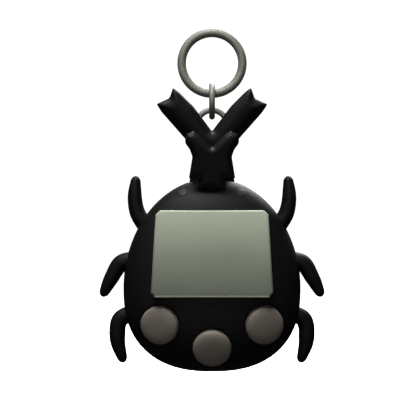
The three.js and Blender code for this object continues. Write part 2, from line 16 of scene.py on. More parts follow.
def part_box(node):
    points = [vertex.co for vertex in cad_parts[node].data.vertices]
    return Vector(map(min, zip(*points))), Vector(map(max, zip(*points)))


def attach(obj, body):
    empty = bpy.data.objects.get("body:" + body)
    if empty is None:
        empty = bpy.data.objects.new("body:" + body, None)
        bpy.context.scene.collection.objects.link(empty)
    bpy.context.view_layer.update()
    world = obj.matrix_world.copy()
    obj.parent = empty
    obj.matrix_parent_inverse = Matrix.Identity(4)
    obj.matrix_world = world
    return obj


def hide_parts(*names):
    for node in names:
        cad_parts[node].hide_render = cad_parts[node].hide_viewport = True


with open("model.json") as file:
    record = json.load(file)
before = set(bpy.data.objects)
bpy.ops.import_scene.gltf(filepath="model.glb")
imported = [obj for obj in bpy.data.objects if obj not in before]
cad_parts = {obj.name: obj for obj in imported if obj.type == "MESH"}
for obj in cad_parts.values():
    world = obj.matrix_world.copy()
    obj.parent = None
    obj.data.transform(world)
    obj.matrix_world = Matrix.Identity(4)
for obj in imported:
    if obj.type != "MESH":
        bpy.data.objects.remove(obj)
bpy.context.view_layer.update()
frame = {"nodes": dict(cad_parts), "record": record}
RECORD = frame["record"]
BODY_OF = {node: body for body, nodes in RECORD["behaviour"]["bodies"].items() for node in nodes}
HANG_Z = next(j["pos_m"][2] for j in RECORD["behaviour"]["joints"] if j["name"] == "case_swing")

MM = 0.001


def box_mm(node):
    """The lowest and highest corner of a CAD node, in millimetres."""
    low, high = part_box(node)
    return np.array(low) / MM, np.array(high) / MM


# ---- driving sizes, in millimetres: X to the right, Y in from the screen, Z up ----

# the egg that the case is cut from, and its two shells
EGG_HALF_WIDTH = box_mm("rear_shell")[1][0]
EGG_MIDDLE_Z = -68.04
EGG_ABOVE = 30.0
EGG_BELOW = 22.3
EGG_LOWER_POWER = 2.4
EGG_DOME_POWER = 2.3
EGG_FRONT = 10.5
EGG_REAR = 9.4
REAR_FLAT = 7.6
REAR_SOFT = 0.35
SEAM_Y = 1.2
SEAM_GAP = 0.16
SEAM_ROUND = 0.28
WALL = 1.4
REAR_FACE = SEAM_Y + REAR_FLAT
PAST_REAR = 20           # a depth behind everything, where cutters end
SHEET_SCALE = 17.0       # millimetres of shell to one unit of the flattened map, so spacings are about true
RIM = SHEET_SCALE * math.pi / 2

# window, in the screen's own frame, and the wall round it
SCREEN_MIDDLE = (0.0, -9.4, -58.2)
SCREEN_TILT = math.radians(8)
SCREEN_HALF_HEIGHT = 11.65
SCREEN_HALF_TOP = 14.9
SCREEN_HALF_BOTTOM = 16.05
LENS_THICK = 1.3
LENS_CORNER = 1.2
LENS_ROUND = 0.5
LENS_SHORTER = 0.3       # how far the lower edge is from where the outline puts it
LENS_SEAT = LENS_THICK + 0.1
VIEW_BACK = 2.55
PLINTH_BACK = 6.5

# buttons and eyes, square to the front, with the front at height 0
BUTTON_RADIUS = 5.1
BUTTON_HOLE = 5.4
HOLE_ROUND = 0.4
HOLE_BLEND = (0.8, 2.2)  # distances over which the way through the wall turns from the button's to the skin's
BUTTON_FLANGE = 5.8
BUTTON_BACK = -3.4
BUTTON_FLANGE_FRONT = -2.8
BUTTON_RIM = 0.35
BUTTON_DOME = 1.35
BUTTON_PLACES = {"left": (-13.9, -77.1), "middle": (0.0, -83.2), "right": (13.9, -77.1)}
EYE_PLACES = {"left": (-7.95, -42.0), "right": (7.95, -42.0)}
EYE_RADIUS = 1.25
EYE_PROUD = 0.18

# horns
HORN_LEAN = 0.268
HORN_AT_Z = -28.3
HORN_MIDDLE_Y = -4.2
HORN_HALF_THICK = 2.5
HORN_ROUND = 3.1
FRONT_HORN_MIDDLE_Y = -8.3
FRONT_HORN_BEVEL = (1.5, 0.4, 1.3)   # half thickness, the same at the edge, and width
FOOT_THINNER = 0.16
BEND_TOP = -30.5
BEND_LOW = -38.2
NECK_Y = 1.9
NECK_HALF_THICK = 2.1
NECK_HALF = 6.1
NECK_END = -43.4
NECK_ROOM = 0.3
NECK_SLOT_TOP = -36.0
NECK_FLANGE = ((-7.6, 7.6), (-0.9, 3.2), (-43.7, -42.2))
PEG_HEIGHTS = (-31.9, -34.2)
PEG_RADIUS = 0.9
PEG_TIP = -2.0
TAB_SEAT = ((-3.8, 3.8), (-41.3, -36.0))
LUG_Z = HANG_Z / MM - 0.35
LUG_RADIUS = 2.7
LUG_HOLE = 1.45
LUG_HALF = 1.1
LUG_ROUND = 0.35
LUG_ROOT_BELOW, LUG_ROOT_ABOVE = 2.2, 2.1
LUG_ROOT_Y = (-4.6, -1.9)
HORN_HALF = [
    (0, NECK_END), (NECK_HALF, NECK_END), (NECK_HALF, -38.4), (5.0, -33.0), (6.6, -28.8), (7.08, -27.8),
    (13.4, -20.7), (14.7, -18.65), (11.24, -17.1), (10.27, -14.4), (8.55, -15.7), (4.98, -19.2), (0, -25.7)]
FRONT_HORN_HALF = [
    (0, -40.9), (2.4, -41.1), (3.5, -40.7), (3.6, -38.3), (6.15, -38.3), (5.2, -32.6), (5.85, -30.75),
    (7.05, -29.1), (7.1, -27.9), (6.8, -26.8), (4.86, -25.9), (3.2, -27.0), (0, -30.2)]

# legs: points along the left one of each pair, and radii at its root, knee and tip
LEGS = {
    "front": ([(-18.3, -50.5), (-20.1, -47.6), (-20.9, -43.6), (-20.6, -37.4)], (2.3, 2.0, 1.1)),
    "middle": ([(-21.0, -60.3), (-24.6, -61.1), (-27.2, -65.0), (-29.8, -70.1)], (2.6, 2.1, 1.1)),
    "rear": ([(-21.2, -74.4), (-24.9, -76.3), (-25.6, -81.6), (-23.9, -88.0)], (2.35, 2.2, 1.1)),
}
TIP_LENGTH = 1.3
SOCKET_GAP = 0.1

# battery door, screws and what else is in the back
DOOR_MIDDLE_Z = -62.0
DOOR_RADIUS = 12.2
DOOR_TAB_HALF = 3.6
DOOR_TAB_END = -79.9
DOOR_THICK = 1.6
DOOR_SCREW_Z = -77.3
CUP_FLOOR = 1.9
CUP_RADIUS = 13.4
CELL_ROOM = 10.5
TAB_WALL = ((-4.9, 4.9), (-81.3, -72.0))
POST_RADIUS = 2.0
SHANK_HOLE = 1.2
DOOR_SHANK_HOLE = 1.1
WELL_WALL = 3.0
WELL_RADIUS = 2.2
WELL_FLOOR = 3.2
SCREW_PLACES = [(-11.0, -45.5), (11.0, -45.5), (-8.2, -87.0), (8.2, -87.0)]
RESET_PLACE = (9.5, -80.0)
RESET_RADIUS = 1.2
RESET_RIM = 1.9
RESET_HOLE = 1.5
SOUND_HOLE = 0.6
SOUND_PLACES = [(-15.7, -79.0), (-13.5, -79.0), (-11.3, -79.0)]

# ---- values that looks share ----

NOISE_LOW, NOISE_HIGH = 0.3, 0.7    # the range that noise mostly keeps to
CELL_PITCH = 0.72                   # of the display's grid
CELL_LINE = 0.16                    # share of the pitch that is line
ZEBRA_PITCH = 0.36
PAINTED_HIGHLIGHT_BAND = 0.82                  # width of a painted highlight along the window's lower edge
# painted highlight: the colour of the bright band along the window's lower edge
PAINTED_HIGHLIGHT_COLOUR = (0.66, 0.71, 0.54)
# painted light: the window's colours from the bottom to the top, darker below and paler above as if lit from
# overhead
WINDOW_PAINTED_LIGHT_SHADES = ((0.050, 0.056, 0.039), (0.135, 0.154, 0.109), (0.30, 0.338, 0.25))
WINDOW_LINE = (0.07, 0.085, 0.055)

# ---- camera, light and surroundings, in metres ----

CAMERA_PLACE = (-0.00054, -0.315, -0.04664)
LIGHTS_AIM = (0, 0, -0.055)
LIGHTS = [          # name, place, size and power
    ("overhead_light", (-0.09, -0.20, 0.50), 0.36, 7.0), ("front_fill", (-0.05, -0.62, 0.10), 0.35, 1.0),
    ("rear_light", (0.14, 0.42, 0.46), 0.5, 8.0)]
WORLD_LIGHT = 0.045
FLOOR_Z = -0.125
ROOM_RADIUS = 2.2


# ---- meshes ----

def mesh_object(name, verts, faces):
    mesh = bpy.data.meshes.new(name)
    mesh.from_pydata(np.asarray(verts, dtype=float).tolist(), [], [tuple(f) for f in faces])
    thing = bpy.data.objects.new(name, mesh)
    bpy.context.scene.collection.objects.link(thing)
    return thing


def make_piece(name, part, node, material, sharp):
    """The piece that stands for a CAD node, shaded smooth except over edges of more than so many degrees."""
    piece = mesh_object(name, part[0] * MM, part[1])
    mesh = piece.data
    tidy = bmesh.new()
    tidy.from_mesh(mesh)
    bmesh.ops.remove_doubles(tidy, verts=tidy.verts, dist=1e-7)
    bmesh.ops.dissolve_degenerate(tidy, edges=tidy.edges, dist=1e-8)
    bmesh.ops.recalc_face_normals(tidy, faces=tidy.faces)
    tidy.to_mesh(mesh)
    tidy.free()
    mesh.shade_smooth()
    mesh.set_sharp_from_angle(angle=math.radians(sharp))
    mesh.materials.append(material)
    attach(piece, BODY_OF[node])
    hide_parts(node)


def merged(a, b):
    """Two (verts, faces) parts as one."""
    return np.vstack([a[0], b[0]]), a[1] + [tuple(len(a[0]) + i for i in f) for f in b[1]]


def grid_faces(rows, columns, closed_rows=False):
    """Quads over a grid of points stored row by row, with each row closed on itself."""
    faces = []
    for r in range(rows if closed_rows else rows - 1):
        for c in range(columns):
            a, b = r * columns + c, r * columns + (c + 1) % columns
            up = ((r + 1) % rows) * columns
            faces.append((a, b, up + (c + 1) % columns, up + c))
    return faces


def full_turn(count):
    """Evenly spaced angles round a circle."""
    return np.linspace(0, 2 * math.pi, count, endpoint=False)


def circle_loop(place, radius, count=72):
    a = full_turn(count)
    return np.stack([place[0] + radius * np.cos(a), place[1] + radius * np.sin(a)], axis=1)


def at_y(loop, y):
    """(x, z) points as 3D ones, at one depth or at a depth for each."""
    return np.stack([loop[:, 0], np.broadcast_to(y, len(loop)), loop[:, 1]], axis=1)


def lathe(profile, sides=64, closed=False):
    """A (radius, height) profile turned about +Y. A radius of 0 closes an end; a closed one makes a ring."""
    verts, faces, rings = [], [], []
    for radius, height in profile:
        if radius < 1e-9:
            rings.append([len(verts)])
            verts.append((0.0, height, 0.0))
            continue
        rings.append(list(range(len(verts), len(verts) + sides)))
        verts += [(radius * math.cos(a), height, radius * math.sin(a)) for a in full_turn(sides)]
    for low, high in zip(rings, rings[1:] + (rings[:1] if closed else [])):
        for i in range(sides):
            k = (i + 1) % sides
            if len(low) == 1:
                faces.append((low[0], high[i], high[k]))
            elif len(high) == 1:
                faces.append((low[i], high[0], low[k]))
            else:
                faces.append((low[i], high[i], high[k], low[k]))
    return np.array(verts), faces


def arc(x, y, across, up, start, end, steps):
    """Points of an elliptic arc about (x, y), from one angle to another."""
    return [(x + across * math.cos(a), y + up * math.sin(a)) for a in np.linspace(start, end, steps)]


QUARTER = [[0, -1, 0], [1, 0, 0], [0, 0, 1]]      # a quarter turn about Z


def moved(part, turn=None, shift=(0, 0, 0)):
    verts, faces = part
    if turn is not None:
        verts = verts @ np.array(turn, dtype=float).T
    return verts + np.asarray(shift, dtype=float), faces


# ---- flat outlines and the meshes made on them ----

def resample(points, spacing):
    """A closed outline with its corners kept and its edges split to about one spacing."""
    result = []
    for a, b in zip(points, np.roll(points, -1, axis=0)):
        count = max(1, int(round(np.linalg.norm(b - a) / spacing)))
        result += [a + (b - a) * t / count for t in range(count)]
    return np.array(result)


def rounded(points, radius, steps=5):
    """A closed outline with each corner rounded, by one radius or by one for each corner."""
    points = np.asarray(points, dtype=float)
    radii = np.broadcast_to(radius, len(points))
    result = []
    for i, corner in enumerate(points):
        before, after = points[i - 1] - corner, points[(i + 1) % len(points)] - corner
        cut = min(radii[i], 0.45 * np.linalg.norm(before), 0.45 * np.linalg.norm(after))
        if cut < 1e-6:
            result.append(corner)
            continue
        start = corner + before / np.linalg.norm(before) * cut
        end = corner + after / np.linalg.norm(after) * cut
        for t in np.linspace(0, 1, steps):
            result.append((1 - t) ** 2 * start + 2 * t * (1 - t) * corner + t ** 2 * end)
    return np.array(result)


def mirrored(half):
    """A half outline (x >= 0, from one end on the middle line to the other) as a whole one."""
    left = [(-x, z) for x, z in half if x > 1e-6][::-1]
    return np.array(list(half) + left, dtype=float)


def edge_distance(points, outline):
    """How far each point is from a closed outline."""
    best = np.full(len(points), 1e9)
    for a, b in zip(outline, np.roll(outline, -1, axis=0)):
        along = b - a
        t = np.clip(((points - a) @ along) / max(along @ along, 1e-12), 0, 1)
        gap = points - (a + t[:, None] * along)
        best = np.minimum(best, np.einsum("ij,ij->i", gap, gap))
    return np.sqrt(best)


def inside(points, outline):
    """Whether each point is inside a closed outline."""
    result = np.zeros(len(points), dtype=bool)
    x, y = points[:, 0], points[:, 1]
    for (ax, ay), (bx, by) in zip(outline, np.roll(outline, -1, axis=0)):
        crosses = (ay > y) != (by > y)
        with np.errstate(divide="ignore", invalid="ignore"):
            at = ax + (y - ay) * (bx - ax) / (by - ay)
        result ^= crosses & (x < at)
    return result


def inset_loop(outline, distance):
    """Points a distance in from a closed outline, without the ones that come too near another edge."""
    before, after = np.roll(outline, 1, axis=0), np.roll(outline, -1, axis=0)
    along = after - before
    along /= np.maximum(np.linalg.norm(along, axis=1), 1e-9)[:, None]
    normal = np.stack([-along[:, 1], along[:, 0]], axis=1)
    area = np.sum(outline[:, 0] * np.roll(outline[:, 1], -1) - np.roll(outline[:, 0], -1) * outline[:, 1])
    moved_in = outline + normal * distance * (1 if area > 0 else -1)
    keep = inside(moved_in, outline) & (edge_distance(moved_in, outline) > 0.93 * distance)
    return moved_in[keep]


def hex_grid(low, high, spacing):
    xs, ys = np.arange(low[0], high[0], spacing), np.arange(low[1], high[1], spacing * 0.866)
    points = [(x + (0.5 * spacing if k % 2 else 0), y) for k, y in enumerate(ys) for x in xs]
    return np.array(points)


def thin_out(points, kept, gap):
    """The points that are at least a gap from every kept one."""
    cells = {}
    for p in kept:
        cells.setdefault((int(p[0] // gap), int(p[1] // gap)), []).append(p)
    result = []
    for p in points:
        cx, cy = int(p[0] // gap), int(p[1] // gap)
        near = (q for i in (-1, 0, 1) for j in (-1, 0, 1) for q in cells.get((cx + i, cy + j), ()))
        if all((p[0] - q[0]) ** 2 + (p[1] - q[1]) ** 2 >= gap * gap for q in near):
            result.append(p)
    return np.array(result).reshape(-1, 2)


def triangulated(points, loops, outside=0):
    """Delaunay triangles with loops of point numbers as edges; outside=1 drops those beyond the loops."""
    edges = [(loop[i], loop[(i + 1) % len(loop)]) for loop in loops for i in range(len(loop))]
    result = delaunay_2d_cdt([Vector(p) for p in points], edges, [], outside, 1e-9)
    places = np.array([tuple(v) for v in result[0]])
    return places, np.array(result[2])


def plate(outline, insets, spacing, front, back):
    """A closed solid over an outline. front and back give Y from (distance to the edge, x, z)."""
    count = len(outline)
    rings = np.vstack([inset_loop(outline, d) for d in insets])
    filler = hex_grid(outline.min(axis=0), outline.max(axis=0), spacing)
    filler = filler[inside(filler, outline)]
    filler = filler[edge_distance(filler, outline) > insets[-1] + spacing * 0.4]
    points = np.vstack([outline, thin_out(rings, outline, min(insets) * 0.6), filler])
    edge = list(range(count))
    places, faces = triangulated(points, [edge], 1)
    depth = edge_distance(places, outline)
    depth[:count] = 0
    outer, inner = [at_y(places, side(depth, places[:, 0], places[:, 1])) for side in (front, back)]
    return thickened(outer, faces, inner, [edge])


# ---- the egg that the case is cut from ----

def egg_reach(x, z):
    """0 on the egg's middle line to 1 on its outline."""
    across, up = np.abs(x) / EGG_HALF_WIDTH, z - EGG_MIDDLE_Z
    upper = np.hypot(across, np.maximum(up, 0) / EGG_ABOVE)
    n = EGG_LOWER_POWER
    lower = (across ** n + (np.maximum(-up, 0) / EGG_BELOW) ** n) ** (1 / n)
    return np.where(up >= 0, upper, lower)


def dome(reach):
    """Height of the dome, 1 in the middle and 0 at the outline."""
    return np.maximum(0, 1 - np.minimum(reach, 1) ** EGG_DOME_POWER) ** (1 / EGG_DOME_POWER)


def front_y(x, z):
    return SEAM_Y - EGG_FRONT * dome(egg_reach(x, z))


def rear_y(x, z):
    """The rear dome, run into its flat with a soft edge."""
    height = EGG_REAR * dome(egg_reach(x, z))
    excess = height - REAR_FLAT
    return SEAM_Y + height - 0.5 * (excess + np.sqrt(excess ** 2 + REAR_SOFT ** 2)) + 0.5 * (
        np.sqrt(REAR_FLAT ** 2 + REAR_SOFT ** 2) - REAR_FLAT)


def on_front(place):
    """A point of the front dome and its outward normal."""
    x, z = place
    h = 0.05
    slope_x = (front_y(x + h, z) - front_y(x - h, z)) / (2 * h)
    slope_z = (front_y(x, z + h) - front_y(x, z - h)) / (2 * h)
    normal = np.array([float(slope_x), -1.0, float(slope_z)])
    return np.array([x, float(front_y(x, z)), z]), normal / np.linalg.norm(normal)


def flattened(points):
    """(x, z) on the egg to the flat map whose distances are about those along the shell."""
    x, up = points[:, 0], points[:, 1] - EGG_MIDDLE_Z
    angle = np.arctan2(up, x)
    reach = np.minimum(egg_reach(points[:, 0], points[:, 1]), 1)
    lean = np.arcsin(np.clip(reach ** (EGG_DOME_POWER / 2), 0, 1))
    return SHEET_SCALE * lean[:, None] * np.stack([np.cos(angle), np.sin(angle)], axis=1)


def unflattened(places):
    """The flat map back to (x, z)."""
    lean = np.linalg.norm(places, axis=1) / SHEET_SCALE
    angle = np.arctan2(places[:, 1], places[:, 0])
    reach = np.sin(np.clip(lean, 0, math.pi / 2)) ** (2 / EGG_DOME_POWER)
    c, s = np.cos(angle), np.sin(angle)
    n = np.where(s >= 0, 2.0, EGG_LOWER_POWER)
    tall = np.where(s >= 0, EGG_ABOVE, EGG_BELOW)
    radius = ((np.abs(c) / EGG_HALF_WIDTH) ** n + (np.abs(s) / tall) ** n) ** (-1 / n)
    return np.stack([reach * radius * c, EGG_MIDDLE_Z + reach * radius * s], axis=1)


def sheet_normals(verts, faces):
    """Unit normals at a sheet's points, from its triangles."""
    faces = np.asarray(faces)
    corners = verts[faces]
    face_normals = np.cross(corners[:, 1] - corners[:, 0], corners[:, 2] - corners[:, 0])
    normals = np.zeros_like(verts)
    for k in range(3):
        np.add.at(normals, faces[:, k], face_normals)
    return normals / np.maximum(np.linalg.norm(normals, axis=1), 1e-12)[:, None]


def thickened(outer, faces, inner, loops):
    """A closed solid from an outer sheet, the same sheet further in, and the loops that bound it."""
    total = len(outer)
    solid_faces = [tuple(f) for f in faces] + [tuple(total + i for i in f[::-1]) for f in faces]
    for loop in loops:
        for a, b in zip(loop, loop[1:] + loop[:1]):
            solid_faces.append((a, b, total + b, total + a))
    return np.vstack([outer, inner]), solid_faces


def fall_away(distance, radius):
    """How far a rounded edge has fallen away, by the distance from it."""
    return radius - np.sqrt(np.maximum(radius ** 2 - (radius - np.minimum(distance, radius)) ** 2, 0))


def tuck_in(verts, from_rim):
    """Rounds a shell's edge at the seam, given how far each point is from it."""
    outward = verts[:, [0, 2]] - np.array([0, EGG_MIDDLE_Z])
    outward /= np.maximum(np.linalg.norm(outward, axis=1), 1e-9)[:, None]
    result = verts.copy()
    result[:, [0, 2]] -= outward * fall_away(from_rim, SEAM_ROUND)[:, None]
    return result


def front_shell_solid(holes, spacing):
    """The front shell's skin. holes is a list of (loop, loops round it, edge rounding, way out).

    Loops are (x, z) points. A hole with a way out is straight along that; the others go square to the skin.
    """
    circle = circle_loop((0, 0), 1.0, 300)
    hole_flats = [flattened(hole[0]) for hole in holes]
    fixed = [RIM * circle] + hole_flats
    near = [(RIM - d) * circle for d in (0.07, 0.16, 0.28, 0.6)]
    near += [flattened(loop) for hole in holes for loop in hole[1]]
    near = thin_out(np.vstack(near), np.vstack(fixed), 0.03)
    filler = hex_grid((-RIM, -RIM), (RIM, RIM), spacing)
    filler = filler[np.linalg.norm(filler, axis=1) < RIM - 0.6 - 0.4 * spacing]
    filler = thin_out(filler, np.vstack(fixed + [near]), spacing * 0.5)
    ends = np.cumsum([len(part) for part in fixed])
    numbered = [list(range(end - len(part), end)) for part, end in zip(fixed, ends)]
    places, faces = triangulated(np.vstack(fixed + [near, filler]), numbered)
    for hole in hole_flats:
        faces = faces[~inside(places[faces].mean(axis=1), hole)]
    used = np.unique(faces)
    renumber = np.full(len(places), -1)
    renumber[used] = np.arange(len(used))
    faces, places = renumber[faces], places[used]
    loops = [[int(renumber[i]) for i in loop] for loop in numbered]
    flat = unflattened(places)
    ideal = at_y(flat, front_y(flat[:, 0], flat[:, 1]) - SEAM_GAP / 2)
    normals = sheet_normals(ideal, faces)
    normals *= np.where(normals[:, 1:2] > 0, -1, 1)
    outer = tuck_in(ideal, RIM - np.linalg.norm(places, axis=1))
    inner = ideal - normals * WALL
    blend_start, blend_end = HOLE_BLEND
    for flat_hole, (_, _, rounding, way) in zip(hole_flats, holes):
        if way is not None:
            d = edge_distance(places, flat_hole)
            share = np.clip((blend_end - d) / (blend_end - blend_start), 0, 1)[:, None]
            inward = share * way + (1 - share) * normals
            outer = outer - inward * fall_away(d, rounding)[:, None]
            inner = np.where(share > 0, ideal - inward * WALL, inner)
    return thickened(outer, faces.tolist(), inner, loops)


def half_egg(height, edge_y, rows=44, columns=200, inset=0.0):
    """Half an egg as a closed solid, flat at the seam."""
    circle = circle_loop((0, 0), 1.0, columns)
    flats = [unflattened(SHEET_SCALE * lean * circle) for lean in np.linspace(0, math.pi / 2, rows)[1:]]
    flat = np.vstack([[(0.0, EGG_MIDDLE_Z)]] + flats)
    sheet = at_y(flat, height(flat[:, 0], flat[:, 1]))
    sheet[-columns:, 1] = edge_y
    faces = [(0, 1 + i, 1 + (i + 1) % columns) for i in range(columns)]
    faces += [tuple(1 + i for i in f) for f in grid_faces(rows - 1, columns)]
    if inset:
        normals = sheet_normals(sheet, [f[:3] for f in faces])
        normals *= np.where(normals[:, 1:2] * (sheet[0, 1] - edge_y) < 0, -1, 1)
        rim = flat[-columns:] - np.array([0, EGG_MIDDLE_Z])
        normals[-columns:] = at_y(rim / np.linalg.norm(rim, axis=1)[:, None], 0)
        sheet = sheet - normals * inset
        sheet[-columns:, 1] = edge_y
    faces.append(tuple(range(len(sheet) - columns, len(sheet)))[::-1])
    return sheet, faces


# ---- solids by stacked loops, and joins and cuts of closed meshes ----

def stacked(loops, close=True):
    """A solid through loops of 3D points with the same count, capped at both ends or closed on itself."""
    columns = len(loops[0])
    faces = grid_faces(len(loops), columns, not close)
    if close:
        faces.append(tuple(range(columns))[::-1])
        faces.append(tuple(range((len(loops) - 1) * columns, len(loops) * columns)))
    return np.vstack(loops), faces


def prism(loop, y0, y1):
    return stacked([at_y(loop, y0), at_y(loop, y1)])


def post(radius, y0, y1, place, count=48):
    return prism(circle_loop(place, radius, count), y0, y1)


def rectangle(x, z):
    return np.array([(x[0], z[0]), (x[1], z[0]), (x[1], z[1]), (x[0], z[1])])


def block(x, y, z):
    return prism(rectangle(x, z), *y)


def work_object(part):
    """An object to cut or join with, in millimetres."""
    thing = mesh_object("work", *part)
    tidy = bmesh.new()
    tidy.from_mesh(thing.data)
    bmesh.ops.remove_doubles(tidy, verts=tidy.verts, dist=1e-5)
    bmesh.ops.recalc_face_normals(tidy, faces=tidy.faces)
    bmesh.ops.triangulate(tidy, faces=[f for f in tidy.faces if len(f.verts) > 4])
    tidy.to_mesh(thing.data)
    tidy.free()
    return thing


def combined(base, others, operation):
    """A closed mesh with other closed ones joined on, cut out or kept in common."""
    thing = work_object(base)
    helpers = [work_object(other) for other in others]
    for helper in helpers:
        step = thing.modifiers.new("step", "BOOLEAN")
        step.operation = operation
        step.solver = "MANIFOLD"
        step.object = helper
    bpy.context.view_layer.update()
    mesh = bpy.data.meshes.new_from_object(thing.evaluated_get(bpy.context.evaluated_depsgraph_get()))
    verts = np.array([tuple(v.co) for v in mesh.vertices])
    faces = [tuple(p.vertices) for p in mesh.polygons]
    for used in [mesh] + [each.data for each in (thing, *helpers)]:
        bpy.data.meshes.remove(used)
    return verts, faces


def cut(base, *others):
    return combined(base, others, "DIFFERENCE")


def joined(base, *others):
    return combined(base, others, "UNION")


def common(base, other):
    return combined(base, [other], "INTERSECT")


# ---- materials ----

class Look:
    """A material's node tree, made by short calls."""

    def __init__(self, name, values):
        self.material = bpy.data.materials.new(name)
        self.material.use_nodes = True
        self.tree = self.material.node_tree
        self.tree.nodes.clear()
        self.skin = self.node("ShaderNodeBsdfPrincipled", values)
        self.node("ShaderNodeOutputMaterial", {0: self.skin.outputs[0]})
        self.place = self.node("ShaderNodeTexCoord", {}).outputs["Object"]

    def node(self, kind, inputs, **settings):
        """A node with its settings, and with its inputs fed or given values."""
        made = self.tree.nodes.new(kind)
        for label, value in settings.items():
            setattr(made, label, value)
        for label, source in inputs.items():
            self.put(source, made.inputs[label])
        return made

    def put(self, source, socket):
        """Feeds a socket from another one, or gives it a number, a vector or an (r, g, b) colour."""
        if isinstance(source, bpy.types.NodeSocket):
            self.tree.links.new(source, socket)
        else:
            socket.default_value = (*source, 1) if socket.type == "RGBA" else source

    def noise(self, scale, detail=3.0, roughness=0.5, stretch=None):
        """Noise over the object, 0 to 1, with a scale in features per metre."""
        source = self.place
        if stretch:
            source = self.node("ShaderNodeMapping", {"Vector": source, "Scale": stretch}).outputs[0]
        inputs = {"Vector": source, "Scale": scale, "Detail": detail, "Roughness": roughness}
        return self.node("ShaderNodeTexNoise", inputs).outputs["Fac"]

    def ranged(self, source, low, high, start=NOISE_LOW, end=NOISE_HIGH):
        """A value spread from low to high, between start and end."""
        inputs = {"Value": source, "From Min": start, "From Max": end, "To Min": low, "To Max": high}
        return self.node("ShaderNodeMapRange", inputs).outputs["Result"]

    def ramp(self, source, *stops):
        """A colour ramp of (place, (r, g, b)) stops."""
        made = self.node("ShaderNodeValToRGB", {"Fac": source})
        elements = made.color_ramp.elements
        while len(elements) < len(stops):
            elements.new(0.5)
        for element, (at, colour) in zip(elements, stops):
            element.position = at
            element.color = (*colour, 1)
        return made.outputs["Color"]

    def maths(self, operation, a, b=0.5):
        return self.node("ShaderNodeMath", {0: a, 1: b}, operation=operation).outputs[0]

    def blended(self, share, a, b):
        """Two colours mixed by a share."""
        return self.node("ShaderNodeMix", {0: share, 6: a, 7: b}, data_type="RGBA").outputs[2]

    def axes(self):
        """X, Y and Z over the object, in metres."""
        return self.node("ShaderNodeSeparateXYZ", {0: self.place}).outputs

    def stripes(self, along, pitch, share):
        """1 over the first share of each pitch along an axis, and 0 over the rest."""
        phase = self.maths("FRACT", self.maths("MULTIPLY", along, 1 / (pitch * MM)))
        return self.maths("LESS_THAN", phase, share)

    def colour(self, source):
        self.put(source, self.skin.inputs["Base Color"])

    def shades(self, source, dark, light):
        """A base colour from dark to light, over the range that noise keeps to."""
        self.colour(self.ramp(source, (NOISE_LOW, dark), (NOISE_HIGH, light)))

    def rough(self, source, low, high):
        self.put(self.ranged(source, low, high), self.skin.inputs["Roughness"])

    def bump(self, source, distance):
        made = self.node("ShaderNodeBump", {"Height": source, "Distance": distance})
        self.put(made.outputs[0], self.skin.inputs["Normal"])


def moulded(name, dark, light, low, high, grain=5200, depth=0.000012, gloss=0.5):
    """Moulded plastic: two close shades, roughness from low to high and a fine spark-eroded texture."""
    look = Look(name, {"Specular IOR Level": gloss})
    cloud = look.noise(45, 4)
    look.shades(cloud, dark, light)
    handled = look.maths("MULTIPLY", look.noise(110, 5, 0.6), 0.7)
    look.rough(look.maths("ADD", handled, look.maths("MULTIPLY", cloud, 0.3)), low, high)
    look.bump(look.noise(grain, 2), depth)
    return look.material


def black(name, dark, light, low, high, grain, gloss):
    """Black plastic with a trace of blue."""
    dark, light = [(shade, shade, shade + 0.0001) for shade in (dark, light)]
    return moulded(name, dark, light, low, high, grain, gloss=gloss)


def wire_metal():
    """Satin nickel plate with fine drawn lines and a few duller patches."""
    look = Look("nickel_plate", {"Metallic": 0.4})
    look.shades(look.noise(160, 3), (0.146, 0.143, 0.121), (0.182, 0.178, 0.152))
    look.rough(look.noise(500, 3), 0.54, 0.64)
    look.bump(look.noise(3000, 2, stretch=(1, 0.25, 1)), 0.0000006)
    return look.material


def screen_window():
    """The grey-green window, with painted light that makes it paler towards the top and darker towards the
    bottom, a painted highlight along its lower edge, and the display's faint grid of cells behind it.
    """
    look = Look("display_window", {"Specular IOR Level": 0.3})
    x, _, z = look.axes()
    low, top = [(SCREEN_MIDDLE[2] + way * SCREEN_HALF_HEIGHT) * MM for way in (-1, 1)]
    # painted light: the colour runs from dark at the window's lower edge to pale at its top, standing in for
    # light from above
    up = look.maths("ADD", look.ranged(z, 0.0, 1.0, low, top), look.ranged(look.noise(60, 2), -0.02, 0.02))
    shade = look.ramp(up, *zip((0.0, 0.45, 1.0), WINDOW_PAINTED_LIGHT_SHADES))
    lines = [look.stripes(axis, CELL_PITCH, CELL_LINE) for axis in (x, z)]
    grid = look.maths("MULTIPLY", look.maths("MAXIMUM", *lines), 0.13)
    # painted highlight: a bright band along the window's lower edge
    edge = look.maths("MULTIPLY", look.maths("LESS_THAN", z, low + PAINTED_HIGHLIGHT_BAND * MM), 0.8)
    look.colour(look.blended(edge, look.blended(grid, shade, WINDOW_LINE), PAINTED_HIGHLIGHT_COLOUR))
    look.rough(look.noise(150, 2), 0.34, 0.4)
    return look.material


def plated(name, colour, worn, low=0.3, high=0.38):
    look = Look(name, {"Metallic": 1.0})
    look.shades(look.noise(700, 4), worn, colour)
    look.rough(look.noise(900, 3), low, high)
    look.bump(look.noise(2500, 2), 0.0000002)
    return look.material


def board_mask():
    """Green solder mask with paler copper tracks under it."""
    look = Look("solder_mask", {"Roughness": 0.35})
    turned = look.node("ShaderNodeMapping", {"Vector": look.place, "Rotation": (math.pi / 2, 0, 0)})
    inputs = {"Vector": turned.outputs[0], "Scale": 130, "Mortar Size": 0.06, "Color1": (0.010, 0.085, 0.030),
              "Color2": (0.014, 0.105, 0.038), "Mortar": (0.05, 0.22, 0.09)}
    look.colour(look.node("ShaderNodeTexBrick", inputs, offset=0.35, squash=0.6).outputs["Color"])
    look.bump(look.noise(900, 2), 0.00002)
    return look.material


def clear_rubber(name, dark, light):
    look = Look(name, {"Roughness": 0.55, "Subsurface Weight": 0.15, "Subsurface Radius": (MM, MM, MM)})
    look.shades(look.noise(200, 3), dark, light)
    look.bump(look.noise(2500, 2), 0.00001)
    return look.material


